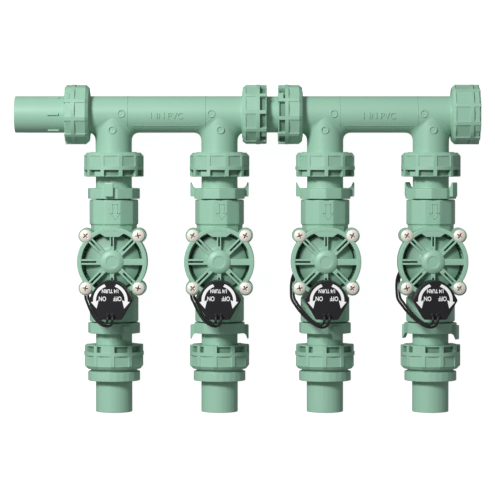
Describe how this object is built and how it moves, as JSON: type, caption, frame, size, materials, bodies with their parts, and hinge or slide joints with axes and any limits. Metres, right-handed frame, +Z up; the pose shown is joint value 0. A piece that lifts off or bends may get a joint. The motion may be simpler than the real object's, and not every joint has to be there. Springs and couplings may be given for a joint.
{
  "type": "irrigation valve manifold",
  "caption": "Irrigation manifold: a header pipe feeding parallel diaphragm valves through ribbed union nuts, each valve with a spoked cover, a hexagonal solenoid and slip outlet.",
  "frame": {"origin": "centre of the bounding box in X and Y, on the surface that the union nuts rest on", "axes": "+Z up, towards the bonnets; +X along the header from the inlet pipe to the end cap; +Y from the valves to the header"},
  "size_m": [0.4242, 0.2994, 0.0996],
  "materials": {
    "green_plastic": "satin moulded sage-green plastic",
    "bonnet_plastic": "satin moulded sage-green plastic, a little paler",
    "black_plastic": "satin black moulding with white print",
    "lead_insulation": "smooth black wire insulation",
    "rubber": "matte black rubber",
    "plunger_steel": "turned stainless steel"
  },
  "bodies": {
    "manifold": {"inlet_tailpiece": "green_plastic", "tee_left": "green_plastic", "coupling_nipple": "green_plastic", "tee_right": "green_plastic", "valve_1_inlet_adapter": "green_plastic", "valve_1_body": "green_plastic", "valve_1_bonnet": "bonnet_plastic", "valve_1_lead_a": "lead_insulation", "valve_1_lead_b": "lead_insulation", "valve_1_lead_coil": "lead_insulation", "valve_1_outlet_adapter": "green_plastic", "valve_1_outlet_tailpiece": "green_plastic", "valve_2_inlet_adapter": "green_plastic", "valve_2_body": "green_plastic", "valve_2_bonnet": "bonnet_plastic", "valve_2_lead_a": "lead_insulation", "valve_2_lead_b": "lead_insulation", "valve_2_lead_coil": "lead_insulation", "valve_2_outlet_adapter": "green_plastic", "valve_2_outlet_tailpiece": "green_plastic", "valve_3_inlet_adapter": "green_plastic", "valve_3_body": "green_plastic", "valve_3_bonnet": "bonnet_plastic", "valve_3_lead_a": "lead_insulation", "valve_3_lead_b": "lead_insulation", "valve_3_lead_coil": "lead_insulation", "valve_3_outlet_adapter": "green_plastic", "valve_3_outlet_tailpiece": "green_plastic", "valve_4_inlet_adapter": "green_plastic", "valve_4_body": "green_plastic", "valve_4_bonnet": "bonnet_plastic", "valve_4_lead_a": "lead_insulation", "valve_4_lead_b": "lead_insulation", "valve_4_lead_coil": "lead_insulation", "valve_4_outlet_adapter": "green_plastic", "valve_4_outlet_tailpiece": "green_plastic"},
    "inlet_nut": {"inlet_nut": "green_plastic"},
    "coupling_nut_left": {"coupling_nut_left": "green_plastic"},
    "coupling_nut_right": {"coupling_nut_right": "green_plastic"},
    "end_cap": {"end_cap": "green_plastic"},
    "valve_1_upper_nut": {"valve_1_upper_nut": "green_plastic"},
    "valve_1_lower_nut": {"valve_1_lower_nut": "green_plastic"},
    "valve_1_solenoid": {"valve_1_solenoid": "black_plastic"},
    "valve_1_plunger": {"valve_1_plunger": "plunger_steel"},
    "valve_1_diaphragm": {"valve_1_diaphragm": "rubber"},
    "valve_2_upper_nut": {"valve_2_upper_nut": "green_plastic"},
    "valve_2_lower_nut": {"valve_2_lower_nut": "green_plastic"},
    "valve_2_solenoid": {"valve_2_solenoid": "black_plastic"},
    "valve_2_plunger": {"valve_2_plunger": "plunger_steel"},
    "valve_2_diaphragm": {"valve_2_diaphragm": "rubber"},
    "valve_3_upper_nut": {"valve_3_upper_nut": "green_plastic"},
    "valve_3_lower_nut": {"valve_3_lower_nut": "green_plastic"},
    "valve_3_solenoid": {"valve_3_solenoid": "black_plastic"},
    "valve_3_plunger": {"valve_3_plunger": "plunger_steel"},
    "valve_3_diaphragm": {"valve_3_diaphragm": "rubber"},
    "valve_4_upper_nut": {"valve_4_upper_nut": "green_plastic"},
    "valve_4_lower_nut": {"valve_4_lower_nut": "green_plastic"},
    "valve_4_solenoid": {"valve_4_solenoid": "black_plastic"},
    "valve_4_plunger": {"valve_4_plunger": "plunger_steel"},
    "valve_4_diaphragm": {"valve_4_diaphragm": "rubber"}
  },
  "joints": [
    {"name": "inlet_nut_turn", "type": "hinge", "parent": "manifold", "child": "inlet_nut", "pos_m": [-0.155, 0.1224, 0.0273], "axis": [-1, 0, 0], "range_deg": [0, 900]},
    {"name": "coupling_nut_left_turn", "type": "hinge", "parent": "manifold", "child": "coupling_nut_left", "pos_m": [0.0069, 0.1224, 0.0273], "axis": [1, 0, 0], "range_deg": [0, 900]},
    {"name": "coupling_nut_right_turn", "type": "hinge", "parent": "manifold", "child": "coupling_nut_right", "pos_m": [0.03925, 0.1224, 0.0273], "axis": [-1, 0, 0], "range_deg": [0, 900]},
    {"name": "end_cap_turn", "type": "hinge", "parent": "manifold", "child": "end_cap", "pos_m": [0.1996, 0.1224, 0.0273], "axis": [1, 0, 0], "range_deg": [0, 900]},
    {"name": "valve_1_upper_nut_turn", "type": "hinge", "parent": "manifold", "child": "valve_1_upper_nut", "pos_m": [-0.12195, 0.0766, 0.0273], "axis": [0, -1, 0], "range_deg": [0, 900]},
    {"name": "valve_1_lower_nut_turn", "type": "hinge", "parent": "manifold", "child": "valve_1_lower_nut", "pos_m": [-0.12195, -0.099, 0.0273], "axis": [0, 1, 0], "range_deg": [0, 900]},
    {"name": "valve_1_solenoid_turn", "type": "hinge", "parent": "manifold", "child": "valve_1_solenoid", "pos_m": [-0.12195, -0.0442, 0.0663], "axis": [0, 0, 1], "range_deg": [0, 90], "deforming": ["valve_1_lead_a", "valve_1_lead_b"]},
    {"name": "valve_1_plunger_lift", "type": "slide", "parent": "valve_1_solenoid", "child": "valve_1_plunger", "axis": [0, 0, 1], "range_m": [0, 0.0025], "stiffness_N_per_m": 100, "springref_m": -0.005},
    {"name": "valve_1_diaphragm_lift", "type": "slide", "parent": "manifold", "child": "valve_1_diaphragm", "axis": [0, 0, 1], "range_m": [0, 0.005], "stiffness_N_per_m": 300, "springref_m": -0.01},
    {"name": "valve_2_upper_nut_turn", "type": "hinge", "parent": "manifold", "child": "valve_2_upper_nut", "pos_m": [-0.02525, 0.0766, 0.0273], "axis": [0, -1, 0], "range_deg": [0, 900]},
    {"name": "valve_2_lower_nut_turn", "type": "hinge", "parent": "manifold", "child": "valve_2_lower_nut", "pos_m": [-0.02525, -0.099, 0.0273], "axis": [0, 1, 0], "range_deg": [0, 900]},
    {"name": "valve_2_solenoid_turn", "type": "hinge", "parent": "manifold", "child": "valve_2_solenoid", "pos_m": [-0.02525, -0.0442, 0.0663], "axis": [0, 0, 1], "range_deg": [0, 90], "deforming": ["valve_2_lead_a", "valve_2_lead_b"]},
    {"name": "valve_2_plunger_lift", "type": "slide", "parent": "valve_2_solenoid", "child": "valve_2_plunger", "axis": [0, 0, 1], "range_m": [0, 0.0025], "stiffness_N_per_m": 100, "springref_m": -0.005},
    {"name": "valve_2_diaphragm_lift", "type": "slide", "parent": "manifold", "child": "valve_2_diaphragm", "axis": [0, 0, 1], "range_m": [0, 0.005], "stiffness_N_per_m": 300, "springref_m": -0.01},
    {"name": "valve_3_upper_nut_turn", "type": "hinge", "parent": "manifold", "child": "valve_3_upper_nut", "pos_m": [0.07135, 0.0766, 0.0273], "axis": [0, -1, 0], "range_deg": [0, 900]},
    {"name": "valve_3_lower_nut_turn", "type": "hinge", "parent": "manifold", "child": "valve_3_lower_nut", "pos_m": [0.07135, -0.099, 0.0273], "axis": [0, 1, 0], "range_deg": [0, 900]},
    {"name": "valve_3_solenoid_turn", "type": "hinge", "parent": "manifold", "child": "valve_3_solenoid", "pos_m": [0.07135, -0.0442, 0.0663], "axis": [0, 0, 1], "range_deg": [0, 90], "deforming": ["valve_3_lead_a", "valve_3_lead_b"]},
    {"name": "valve_3_plunger_lift", "type": "slide", "parent": "valve_3_solenoid", "child": "valve_3_plunger", "axis": [0, 0, 1], "range_m": [0, 0.0025], "stiffness_N_per_m": 100, "springref_m": -0.005},
    {"name": "valve_3_diaphragm_lift", "type": "slide", "parent": "manifold", "child": "valve_3_diaphragm", "axis": [0, 0, 1], "range_m": [0, 0.005], "stiffness_N_per_m": 300, "springref_m": -0.01},
    {"name": "valve_4_upper_nut_turn", "type": "hinge", "parent": "manifold", "child": "valve_4_upper_nut", "pos_m": [0.16805, 0.0766, 0.0273], "axis": [0, -1, 0], "range_deg": [0, 900]},
    {"name": "valve_4_lower_nut_turn", "type": "hinge", "parent": "manifold", "child": "valve_4_lower_nut", "pos_m": [0.16805, -0.099, 0.0273], "axis": [0, 1, 0], "range_deg": [0, 900]},
    {"name": "valve_4_solenoid_turn", "type": "hinge", "parent": "manifold", "child": "valve_4_solenoid", "pos_m": [0.16805, -0.0442, 0.0663], "axis": [0, 0, 1], "range_deg": [0, 90], "deforming": ["valve_4_lead_a", "valve_4_lead_b"]},
    {"name": "valve_4_plunger_lift", "type": "slide", "parent": "valve_4_solenoid", "child": "valve_4_plunger", "axis": [0, 0, 1], "range_m": [0, 0.0025], "stiffness_N_per_m": 100, "springref_m": -0.005},
    {"name": "valve_4_diaphragm_lift", "type": "slide", "parent": "manifold", "child": "valve_4_diaphragm", "axis": [0, 0, 1], "range_m": [0, 0.005], "stiffness_N_per_m": 300, "springref_m": -0.01}
  ]
}
